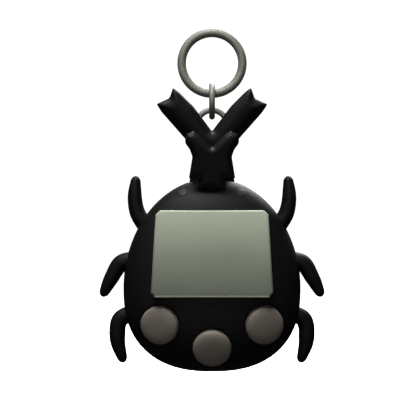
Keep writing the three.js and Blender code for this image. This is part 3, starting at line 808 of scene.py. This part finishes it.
def layered_rubber():
    """Thin conductive layers in insulating rubber."""
    look = Look("zebra_layers", {"Roughness": 0.7})
    layers = look.stripes(look.axes()[0], ZEBRA_PITCH, 0.5)
    look.colour(look.blended(layers, (0.32, 0.33, 0.34), (0.012, 0.012, 0.013)))
    look.bump(look.noise(2500, 2), 0.00002)
    return look.material


BLACK = black("black_moulding", 0.0014, 0.0023, 0.51, 0.60, 5200, 0.15)
HORN_BLACK = black("black_horn_moulding", 0.0008, 0.0013, 0.48, 0.56, 4200, 0.26)
LEG_BLACK = black("black_leg_moulding", 0.0013, 0.0021, 0.54, 0.64, 4600, 0.11)
DOOR_BLACK = black("black_door_moulding", 0.0030, 0.0044, 0.56, 0.68, 3800, 0.2)
EYE_GREY = moulded("eye_moulding", (0.010, 0.012, 0.010), (0.015, 0.017, 0.015), 0.48, 0.58, gloss=0.2)
BUTTON_GREY = moulded("button_moulding", (0.118, 0.103, 0.086), (0.140, 0.122, 0.103), 0.5, 0.62, 4200,
                      gloss=0.35)
NICKEL = wire_metal()
WINDOW = screen_window()
STEEL = plated("zinc_plate", (0.55, 0.56, 0.58), (0.42, 0.43, 0.44))
CAN = plated("cell_can", (0.66, 0.66, 0.67), (0.60, 0.60, 0.61), 0.44, 0.48)
BRASS = plated("contact_plate", (0.62, 0.47, 0.22), (0.5, 0.36, 0.16))
BOARD = board_mask()
SILICONE = clear_rubber("keypad_silicone", (0.50, 0.48, 0.42), (0.58, 0.56, 0.50))
ZEBRA = layered_rubber()
WHITE_FRAME = moulded("white_frame_moulding", (0.52, 0.51, 0.48), (0.60, 0.59, 0.56), 0.45, 0.6)
RESIN = moulded("black_resin", (0.010, 0.010, 0.010), (0.018, 0.018, 0.018), 0.15, 0.35, 900, 0.00003)
GLASS = moulded("display_glass", (0.24, 0.27, 0.20), (0.30, 0.33, 0.25), 0.08, 0.16, 700, 0.000002)


# ---- key ring and links ----

for node, turn in (("key_ring", None), ("upper_link", QUARTER), ("lower_link", None)):
    size = np.ptp(box_mm(node), axis=0)
    wire = min(size) / 2
    section = [(size[2] / 2 - wire + wire * math.cos(a), wire * math.sin(a)) for a in full_turn(28)]
    ring = moved(lathe(section, 120, closed=True), turn, np.mean(box_mm(node), axis=0))
    make_piece(node + "_wire", ring, node, NICKEL, 180)


# ---- places on the front ----

def hole_loop(place, radius):
    """Where a cylinder of a radius, square to the front at a place, meets the front, as (x, z)."""
    point, normal = on_front(place)
    side = np.cross(normal, (0, 0, 1))
    side /= np.linalg.norm(side)
    up = np.cross(side, normal)
    a = full_turn(90)[:, None]
    ring = point + radius * (np.cos(a) * side + np.sin(a) * up)
    at = ring
    shift = 0
    for _ in range(6):
        shift = shift + (front_y(at[:, 0], at[:, 2]) - at[:, 1]) / normal[1]
        at = ring + shift[:, None] * normal
    return at[:, [0, 2]]


def square_to_front(part, place):
    """A part about +Y, stood on the front at a place, with +Y outwards."""
    point, normal = on_front(place)
    turn = Vector((0, 1, 0)).rotation_difference(Vector(normal)).to_matrix()
    return moved(part, turn, point)


def screen_outline(inset, corner, spacing=0.5):
    """The screen's outline in its own frame (x, up), wider at its lower edge, with cut corners."""
    top, low, up = SCREEN_HALF_TOP - inset, SCREEN_HALF_BOTTOM - inset, SCREEN_HALF_HEIGHT - inset
    half = [(0, -up), (low - corner, -up), (low, corner - up)]
    half += [(top, up - corner), (top - corner, up), (0, up)]
    return resample(rounded(mirrored(half), 0.12, 3), spacing)


def in_screen(part):
    """From the screen's own frame (x, in from its face, up) to the object's."""
    c, s = math.cos(-SCREEN_TILT), math.sin(-SCREEN_TILT)
    return moved(part, [[1, 0, 0], [0, c, -s], [0, s, c]], SCREEN_MIDDLE)


# ---- horns ----

def leaning(middle_y):
    """Depth of a plate's middle by height: it leans forwards, and is at middle_y at the start of the arms."""
    return lambda z: middle_y - HORN_LEAN * (np.asarray(z, dtype=float) - HORN_AT_Z)


def neck_share(z):
    """How far the big horn's neck is through its bend: 0 in the leaning plate, 1 where it stands upright."""
    return np.clip((BEND_TOP - np.asarray(z, dtype=float)) / (BEND_TOP - BEND_LOW), 0, 1)


def horn_middle(z):
    """Depth of the big horn's middle: it leans forwards, and its neck bends back and stands upright."""
    t = neck_share(z)
    straight = leaning(HORN_MIDDLE_Y)(np.maximum(z, BEND_TOP))
    bend = (t ** 3 - 2 * t ** 2 + t) * (BEND_TOP - BEND_LOW) * HORN_LEAN
    return (2 * t ** 3 - 3 * t ** 2 + 1) * straight + bend + (3 * t ** 2 - 2 * t ** 3) * NECK_Y


def pillow(half_thick, width):
    """How far a face stands from the middle plane, by the distance to the edge, for an elliptic edge."""
    def height(depth):
        t = np.clip(depth / width, 0, 1)
        return half_thick * np.sqrt(np.maximum(1 - (1 - t) ** 2, 0))
    return height


def chamfered(half_thick, at_edge, width):
    """As pillow, but with a straight bevel that starts at_edge from the middle plane."""
    return lambda depth: at_edge + (half_thick - at_edge) * np.clip(depth / width, 0, 1)


def horn_plate(half, corner, middle, section, insets, spacing):
    """A plate over a mirrored half outline, about a middle surface, and a little thinner towards its foot."""
    def stand(depth, z):
        return section(depth) * (1 - FOOT_THINNER * neck_share(z))
    outline = resample(rounded(mirrored(half), corner), spacing * 0.8)
    return plate(outline, insets, spacing, lambda d, x, z: middle(z) - stand(d, z),
                 lambda d, x, z: middle(z) + stand(d, z))


def horn_lug():
    """The lug behind the fork, which the lower link goes through, and its root in the horn."""
    flat = LUG_HALF - LUG_ROUND
    section = arc(LUG_RADIUS - LUG_ROUND, flat, LUG_ROUND, LUG_ROUND, 0, math.pi / 2, 5)
    section += arc(LUG_HOLE + LUG_ROUND, flat, LUG_ROUND, LUG_ROUND, math.pi / 2, math.pi, 5)
    section += [(r, -h) for r, h in section[::-1]]
    eye = moved(lathe(section, 64, closed=True), QUARTER, (0, 0, LUG_Z))
    root = rectangle((-LUG_HALF, LUG_HALF), (LUG_Z - LUG_ROOT_BELOW, LUG_Z + LUG_ROOT_ABOVE))
    return [eye, prism(rounded(root, LUG_ROUND, 4), *LUG_ROOT_Y)]


def horn_pegs(radius, front, tip):
    return [post(radius, front, tip, (0.0, z), 24) for z in PEG_HEIGHTS]


horn_body = horn_plate(HORN_HALF, 0.5, horn_middle, pillow(HORN_HALF_THICK, HORN_ROUND),
                       (0.06, 0.16, 0.32, 0.6, 1.0, 1.5, 2.1, 2.7, 3.3), 0.55)
horn = joined(horn_body, *horn_lug(), block(*NECK_FLANGE))
peg_rooms = horn_pegs(PEG_RADIUS + 0.1, -12, PEG_TIP + 0.2)
make_piece("forked_horn", cut(horn, *peg_rooms), "horn", HORN_BLACK, 60)

front_body = horn_plate(FRONT_HORN_HALF, 0.45, leaning(FRONT_HORN_MIDDLE_Y), chamfered(*FRONT_HORN_BEVEL),
                        (0.05, 0.12, 0.24, 0.42, 0.7, 1.05, 1.45, 1.9), 0.5)
front_horn = joined(front_body, *horn_pegs(PEG_RADIUS, -7.5, PEG_TIP))
make_piece("small_forked_horn", front_horn, "front_horn", HORN_BLACK, 60)


# ---- legs ----

def between(a, b, start, end, t):
    """From a at start to b at end, in a straight line."""
    return (end - t) / (end - start) * a + (t - start) / (end - start) * b


def smooth_line(points):
    """Close points along a centripetal Catmull-Rom curve through points, and how far along it each one is."""
    points = np.asarray(points, dtype=float)
    ends = np.vstack([2 * points[0] - points[1], points, 2 * points[-1] - points[-2]])
    knots = np.concatenate([[0], np.cumsum(np.linalg.norm(np.diff(ends, axis=0), axis=1) ** 0.5)])
    dense = []
    for k in range(len(points) - 1):
        for t in np.linspace(knots[k + 1], knots[k + 2], 60, endpoint=False):
            near = [between(ends[i], ends[i + 1], knots[i], knots[i + 1], t) for i in (k, k + 1, k + 2)]
            wide = [between(near[i], near[i + 1], knots[k + i], knots[k + i + 2], t) for i in (0, 1)]
            dense.append(between(*wide, knots[k + 1], knots[k + 2], t))
    dense = np.vstack([dense, points[-1]])
    return dense, np.concatenate([[0], np.cumsum(np.linalg.norm(np.diff(dense, axis=0), axis=1))])


def leg_part(line, radii, mirror, further=0.0):
    """A tapering limb with a rounded tip; its root can go further back."""
    root, knee, tip = radii
    dense, steps = smooth_line(line)
    length = steps[-1]

    def at(distance):
        return np.stack([np.interp(distance, steps, dense[:, k]) for k in range(2)], axis=1)

    tip_share = TIP_LENGTH / length
    tip_shares = 1 - tip_share * (1 - np.sin(np.linspace(0, math.pi / 2, 12)[1:]))
    shares = np.concatenate([np.linspace(0, 1 - tip_share, 56), tip_shares])
    ways = at(np.minimum(shares * length + 0.1, length)) - at(np.maximum(shares * length - 0.1, 0))
    ways /= np.linalg.norm(ways, axis=1)[:, None]
    sign = -1 if mirror else 1
    angles = full_turn(36)
    loops = []
    for share, (x, z), (wx, wz) in zip(shares, at(shares * length), ways):
        past = 2 * share - 1
        radius = knee - (root - knee) * past if past < 0 else knee + (tip - knee) * past ** 1.6
        gone = max(0.0, (share - (1 - tip_share)) / tip_share)
        radius *= math.sqrt(max(1 - gone ** 2, 0.0004))
        across, deep = radius * np.cos(angles), radius * np.sin(angles)
        loops.append(np.stack([sign * (x - wz * across), SEAM_Y + deep, z + wx * across], axis=1))
    if further:
        loops.insert(0, loops[0] - further * np.array([sign * ways[0][0], 0, ways[0][1]]))
    return stacked(loops)


for pair, (line, radii) in LEGS.items():
    for side in ("left", "right"):
        leg = leg_part(line, radii, side == "right")
        make_piece(f"{pair}_leg_{side}", leg, f"leg_{pair}_{side}", LEG_BLACK, 60)


# ---- screen, buttons and eyes ----

lens_edge = pillow(LENS_ROUND, LENS_ROUND)
lens_verts, lens_faces = plate(screen_outline(0, LENS_CORNER, 0.4), (0.05, 0.12, 0.22, 0.34, 0.5, 0.8), 0.9,
                               lambda d, x, up: LENS_ROUND - lens_edge(d),
                               lambda d, x, up: np.full(len(d), LENS_THICK))
lens_verts[:, 2] *= np.where(lens_verts[:, 2] < 0, 1 - LENS_SHORTER / SCREEN_HALF_HEIGHT, 1)
make_piece("screen_window", in_screen((lens_verts, lens_faces)), "screen_lens", WINDOW, 50)

flange, back, front = BUTTON_FLANGE, BUTTON_BACK, BUTTON_FLANGE_FRONT
button_profile = [(0, back), (flange - 0.2, back), (flange, back + 0.1), (flange, front - 0.1),
                  (flange - 0.1, front), (BUTTON_RADIUS, front), (BUTTON_RADIUS, 0.2)]
button_profile += [(BUTTON_RADIUS * math.cos(a) ** 0.75, BUTTON_RIM + BUTTON_DOME * math.sin(a))
                   for a in np.linspace(0, math.pi / 2, 15)[:-1]]
button_profile += [(0, BUTTON_RIM + BUTTON_DOME)]
for side, place in BUTTON_PLACES.items():
    cap = square_to_front(lathe(button_profile, 72), place)
    make_piece(f"{side}_button_cap", cap, f"button_{side}", BUTTON_GREY, 50)

eye_profile = [(0, -0.5), (EYE_RADIUS, -0.5), (EYE_RADIUS, 0.0)]
eye_profile += arc(0, 0, EYE_RADIUS, EYE_PROUD, 0.15, 1.4, 7) + [(0, EYE_PROUD)]
for side, place in EYE_PLACES.items():
    stud = square_to_front(lathe(eye_profile, 40), place)
    make_piece(f"{side}_eye_stud", stud, f"eye_{side}", EYE_GREY, 50)


# ---- front shell ----

def in_front(outline):
    """An outline in the screen's own frame as (x, z) points."""
    return in_screen((at_y(outline, LENS_THICK), []))[0][:, [0, 2]]


def front_skin():
    """The front shell's skin, open for the buttons and the screen."""
    holes = []
    for place in BUTTON_PLACES.values():
        rings = [hole_loop(place, BUTTON_HOLE + d) for d in (0.06, 0.15, 0.27, 0.42, 0.75)]
        holes.append((hole_loop(place, BUTTON_HOLE), rings, HOLE_ROUND, on_front(place)[1]))
    opening, round_it = [in_front(screen_outline(*sizes)) for sizes in ((0.9, 0.7, 0.7), (0.35, 0.8, 0.7))]
    return front_shell_solid(holes + [(opening, [round_it], 0, None)], 0.75)


def screen_plinth():
    """The wall round the screen: the seat of the window in front, and the room of the display behind."""
    outer = screen_outline(0.45, 0.8)
    view, display = outer * (0.80, 0.78), outer * (0.935, 0.925)
    loops = [at_y(outer, PLINTH_BACK)]
    loops += [at_y(outer * share, LENS_SEAT + y) for share, y in ((1, 0.25), (0.993, 0.06), (0.983, 0))]
    loops += [at_y(view, LENS_SEAT), at_y(view, VIEW_BACK)]
    loops += [at_y(display, VIEW_BACK), at_y(display, PLINTH_BACK)]
    return in_screen(stacked(loops, close=False))


def screw_posts():
    outer = half_egg(lambda x, z: front_y(x, z) + 0.05, SEAM_Y - SEAM_GAP / 2)
    return [common(post(POST_RADIUS, -12, SEAM_Y - SEAM_GAP, place), outer) for place in SCREW_PLACES]


neck_reach = NECK_HALF_THICK + NECK_ROOM
neck_slot = block((-NECK_HALF - NECK_ROOM, NECK_HALF + NECK_ROOM), (NECK_Y - neck_reach, NECK_Y + neck_reach),
                  (NECK_END, NECK_SLOT_TOP))
sockets = [leg_part(line, [r + SOCKET_GAP for r in radii], mirror, 0.4)
           for line, radii in LEGS.values() for mirror in (False, True)]
tab = rectangle(*TAB_SEAT)
tab_seat = stacked([at_y(tab, leaning(FRONT_HORN_MIDDLE_Y + deep)(tab[:, 1])) for deep in (-4.0, 1.7)])
lens_room = in_screen(prism(screen_outline(-0.16, LENS_CORNER), -6, LENS_SEAT))
front_cutters = [lens_room, neck_slot, tab_seat, *sockets]
for places, radius, back, front, sides in ((EYE_PLACES, EYE_RADIUS + 0.04, -0.6, 1.5, 40),
                                           (BUTTON_PLACES, BUTTON_FLANGE + 0.3, -6, -2.55, 64)):
    room = lathe([(0, back), (radius, back), (radius, front), (0, front)], sides)
    front_cutters += [square_to_front(room, place) for place in places.values()]
front_cutters += [post(SHANK_HOLE, -2.6, SEAM_Y + 1, place, 24) for place in SCREW_PLACES]
front_part = cut(joined(front_skin(), screen_plinth(), *screw_posts()), *front_cutters)
make_piece("front_case_half", front_part, "front_shell", BLACK, 45)


# ---- rear shell ----

def door_outline(grow, corner=1.5):
    """A disc with a tab below it."""
    radius, half, end = DOOR_RADIUS + grow, DOOR_TAB_HALF + grow, DOOR_TAB_END - grow
    start = math.asin(half / radius)
    disc = arc(0, DOOR_MIDDLE_Z, radius, radius, -math.pi / 2 + start, 1.5 * math.pi - start, 110)
    corners = [(-half, disc[-1][1]), (-half, end), (half, end), (half, disc[0][1])]
    return np.vstack([disc, rounded(corners, (0, corner, corner, 0), 7)[1:-1]])


def door_loops(*steps):
    """Door outlines, each grown by so much and so far in from the rear face."""
    return [at_y(door_outline(grow), REAR_FACE - depth) for grow, depth in steps]


DOOR_MIDDLE = (0, DOOR_MIDDLE_Z)
DOOR_SCREW = (0, DOOR_SCREW_Z)
rear_outer = half_egg(rear_y, SEAM_Y + SEAM_GAP / 2)
inner_verts, inner_faces = half_egg(rear_y, SEAM_Y + SEAM_GAP / 2, inset=WALL)
rear_walls = cut(rear_outer, (inner_verts - np.array([0, 0.02, 0]), inner_faces))
cup_block = joined(post(CUP_RADIUS, CUP_FLOOR, PAST_REAR, DOOR_MIDDLE, 96),
                   prism(rectangle(*TAB_WALL), CUP_FLOOR, PAST_REAR),
                   *[post(WELL_WALL, SEAM_Y + 0.1, PAST_REAR, place) for place in SCREW_PLACES])
recess = stacked(door_loops((0.3, DOOR_THICK + 0.1), (0.3, 0.3), (0.65, -0.05), (0.65, -1)))
cutters = [recess, post(CELL_ROOM, CUP_FLOOR + 0.8, REAR_FACE, DOOR_MIDDLE, 96),
           block((9.0, 11.0), (CUP_FLOOR - 1, 6.6), (DOOR_MIDDLE_Z - 2.8, DOOR_MIDDLE_Z + 2.8)),
           block((-1, 1), (CUP_FLOOR - 1, 4), (DOOR_MIDDLE_Z - 1, DOOR_MIDDLE_Z + 1)),
           post(DOOR_SHANK_HOLE, WELL_FLOOR, REAR_FACE, DOOR_SCREW), post(RESET_HOLE, 4, 12, RESET_PLACE)]
cutters += [post(SOUND_HOLE, 3, 12, place, 24) for place in SOUND_PLACES]
cutters += [post(WELL_RADIUS, WELL_FLOOR, PAST_REAR, place) for place in SCREW_PLACES]
cutters += [post(SHANK_HOLE, 0, 5, place, 24) for place in SCREW_PLACES]
rear_part = cut(joined(rear_walls, common(cup_block, rear_outer)), neck_slot, *sockets, *cutters)
make_piece("rear_case_half", rear_part, "rear_shell", BLACK, 35)


# ---- battery door, screws, reset button and battery ----

door = stacked(door_loops((-0.3, DOOR_THICK), (-0.08, DOOR_THICK - 0.08), (0, DOOR_THICK - 0.3), (0, 0.45),
                          (-0.05, 0.2), (-0.19, 0.05), (-0.42, 0)))
head_room = post(2.0, REAR_FACE - 0.9, REAR_FACE + 1, DOOR_SCREW, 72)
door = cut(door, head_room, post(DOOR_SHANK_HOLE, REAR_FACE - DOOR_THICK - 1, REAR_FACE, DOOR_SCREW))
make_piece("battery_door", door, "battery_cover", DOOR_BLACK, 35)


def threaded(radius, tip_y, top_y, place, pitch=0.45, depth=0.14, sides=28):
    """A threaded shank, pointed at its tip, as a closed solid."""
    rows = int((top_y - tip_y) / pitch * 10)
    a = full_turn(sides)
    loops = []
    for y in np.linspace(tip_y, top_y, rows + 1):
        point = min(1.0, (y - tip_y) / 0.9 + 0.15)
        phase = (y / pitch + a / (2 * math.pi)) % 1
        reach = (radius - depth * (1 - np.abs(2 * phase - 1) ** 1.5)) * point
        loops.append(at_y(circle_loop(place, reach, sides), y))
    return stacked(loops)


def screw_part(place, head_radius, head_y, head_thick, shank, tip_y):
    """A pan-head screw with a cross slot."""
    top = head_y + head_thick
    head = [(0, head_y), (head_radius - 0.1, head_y), (head_radius, head_y + 0.1), (head_radius, top - 0.5)]
    head += arc(0, top - 0.5, head_radius, 0.5, 0.2, 1.45, 8) + [(0, top)]
    x, z = place
    blank = moved(lathe(head, 48), None, (x, 0, z))
    arms = ((0.62 * head_radius, 0.22), (0.22, 0.62 * head_radius))
    slots = [block((x - a, x + a), (top - 0.5, top + 1), (z - b, z + b)) for a, b in arms]
    return merged(cut(blank, joined(*slots)), threaded(shank, tip_y, head_y + 0.05, place))


for number, place in enumerate(SCREW_PLACES, 1):
    screw = screw_part(place, head_radius=1.9, head_y=3.3, head_thick=1.2, shank=0.9, tip_y=-2.2)
    make_piece(f"case_screw_head_{number}", screw, f"case_screw_{number}", STEEL, 40)
door_screw = screw_part(DOOR_SCREW, head_radius=1.7, head_y=REAR_FACE - 0.85, head_thick=0.8, shank=0.8,
                        tip_y=3.6)
make_piece("door_screw", door_screw, "battery_cover_screw", STEEL, 40)

(_, low, _), (_, high, _) = box_mm("reset_button")
pin, rim = RESET_RADIUS, RESET_RIM
reset_profile = [(0, low), (pin - 0.1, low), (pin, low + 0.1), (pin, 5.6), (rim - 0.05, 5.6), (rim, 5.7),
                 (rim, 6.3), (rim - 0.05, 6.4), (pin, 6.4), (pin, high - 0.3)]
reset_profile += arc(pin - 0.3, high - 0.3, 0.3, 0.3, 0.2, 1.57, 6) + [(0, high)]
reset_pin = moved(lathe(reset_profile, 40), None, (RESET_PLACE[0], 0, RESET_PLACE[1]))
make_piece("reset_pin", reset_pin, "reset_button", BUTTON_GREY, 40)

(left, low, _), (right, high, _) = box_mm("battery")
can = (right - left) / 2
cell_profile = [(0, low), (can - 1.9, low), (can - 1.4, low + 0.3), (can - 1.3, low + 0.5),
                (can - 0.5, low + 0.45), (can - 0.1, low + 0.6), (can, low + 0.9), (can, high - 0.5)]
cell_profile += arc(can - 0.5, high - 0.5, 0.5, 0.5, 0.25, 1.57, 6)
cell_profile += [(can - 1.2, high), (can - 1.35, high - 0.06), (can - 1.5, high), (0, high)]
make_piece("coin_cell", moved(lathe(cell_profile, 96), None, (0, 0, DOOR_MIDDLE_Z)), "battery", CAN, 40)

CARRIED = {
    GLASS: ["lcd_panel"], WHITE_FRAME: ["lcd_frame"], ZEBRA: ["zebra_strip"], BOARD: ["circuit_board"],
    RESIN: ["chip_cover", "capacitor"], STEEL: ["crystal", "reset_switch"], SILICONE: ["keypad"],
    BRASS: ["buzzer", "battery_contact_positive", "battery_contact_negative"],
}
for material, nodes in CARRIED.items():
    for node in nodes:
        mesh = frame["nodes"][node].data
        mesh.materials.clear()
        mesh.materials.append(material)


# ---- camera, light and surroundings, in metres ----

scene = bpy.context.scene
camera_data = bpy.data.cameras.new("camera")
camera_data.lens = 100
camera_data.sensor_width = 36
camera_data.clip_start = 0.01
camera_data.clip_end = 20
camera = bpy.data.objects.new("camera", camera_data)
camera.location = CAMERA_PLACE
camera.rotation_euler = (math.pi / 2, 0, 0)
scene.collection.objects.link(camera)
scene.camera = camera

for name, place, size, power in LIGHTS:
    light_data = bpy.data.lights.new(name, "AREA")
    light_data.shape = "DISK"
    light_data.size = size
    light_data.energy = power
    light = bpy.data.objects.new(name, light_data)
    light.location = place
    light.rotation_euler = (Vector(LIGHTS_AIM) - Vector(place)).to_track_quat("-Z", "Y").to_euler()
    scene.collection.objects.link(light)

scene.world = bpy.data.worlds.new("studio")
scene.world.use_nodes = True
background = scene.world.node_tree.nodes["Background"]
background.inputs["Color"].default_value = (1, 1, 1, 1)
background.inputs["Strength"].default_value = WORLD_LIGHT


def glowing(name, shade):
    """A near-white that the camera sees as it is, with a trace of unevenness."""
    look = Look(name, {"Roughness": 0.9, "Emission Strength": 1.0})
    soft = look.ramp(look.noise(2, 2), (NOISE_LOW, (shade * 0.985,) * 3), (NOISE_HIGH, (shade,) * 3))
    look.put(soft, look.skin.inputs["Emission Color"])
    look.colour(soft)
    return look.material


PALE = glowing("pale_surround", 1.02)
floor = (at_y(circle_loop((0, 0), ROOM_RADIUS, 96), FLOOR_Z), [range(96)])
wall = arc(0, FLOOR_Z, ROOM_RADIUS, ROOM_RADIUS, 0.05, 1.57, 20)
backdrop = lathe([(ROOM_RADIUS, FLOOR_Z)] + wall + [(0, FLOOR_Z + ROOM_RADIUS)], 64)
for name, (verts, faces) in (("pale_floor", floor), ("pale_backdrop", backdrop)):
    thing = mesh_object(name, verts[:, [0, 2, 1]], faces)
    thing.data.materials.append(PALE)
    for ray in ("diffuse", "glossy", "transmission", "shadow"):
        setattr(thing, f"visible_{ray}", False)

scene.view_settings.view_transform = "Standard"
scene.view_settings.look = "None"
